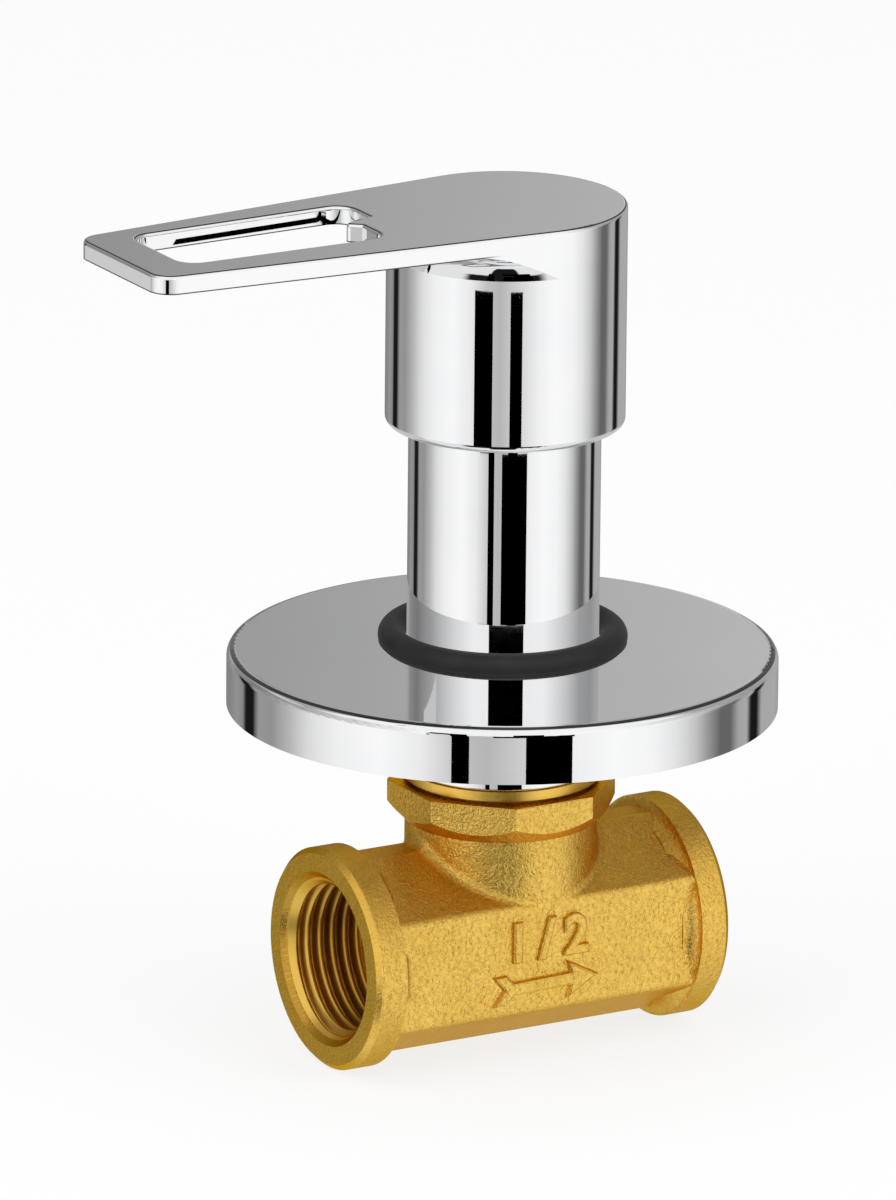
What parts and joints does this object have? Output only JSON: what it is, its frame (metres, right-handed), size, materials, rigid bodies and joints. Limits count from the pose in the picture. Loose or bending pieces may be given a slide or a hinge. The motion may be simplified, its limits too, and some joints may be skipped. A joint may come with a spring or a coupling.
{
  "type": "isolating valve",
  "caption": "Built-in quarter-turn stop valve: brass body with threaded ends, chrome sleeve, sliding wall flange and slotted lever handle.",
  "frame": {"origin": "centre of the pipe run, where the pipe axis meets the spindle axis", "axes": "+X along the pipe axis in the direction of flow, +Z along the spindle out of the wall; the lever points to -X when open"},
  "size_m": [0.0908, 0.07, 0.1104],
  "materials": {
    "cast_brass": "sandblasted",
    "turned_brass": "turned",
    "chrome_plate": "polished",
    "black_rubber": "matte",
    "white_ceramic": "lapped",
    "white_plastic": "moulded",
    "spring_steel": "plain",
    "fibre": "pressed sheet"
  },
  "bodies": {
    "valve": {"valve_body": "cast_brass", "housing_gasket": "fibre", "cartridge_housing": "turned_brass", "seat_seal": "black_rubber", "fixed_disc": "white_ceramic", "chrome_sleeve": "chrome_plate", "centring_bush": "white_plastic"},
    "handle": {"turning_disc": "white_ceramic", "spindle": "turned_brass", "stem_seals": "black_rubber", "thrust_washer": "white_plastic", "stop_ring": "turned_brass", "retaining_clip": "spring_steel", "spindle_extension": "turned_brass", "extension_screw": "spring_steel", "lever_handle": "chrome_plate", "handle_insert": "white_plastic", "grub_screw": "spring_steel", "screw_plug": "chrome_plate"},
    "trim": {"wall_flange": "chrome_plate", "flange_ring": "black_rubber"}
  },
  "joints": [
    {"name": "handle_turn", "type": "hinge", "parent": "valve", "child": "handle", "pos_m": [0, 0, 0.08], "axis": [0, 0, 1], "range_deg": [-90, 0]},
    {"name": "flange_slide", "type": "slide", "parent": "valve", "child": "trim", "axis": [0, 0, 1], "range_m": [-0.014, 0.026]}
  ]
}
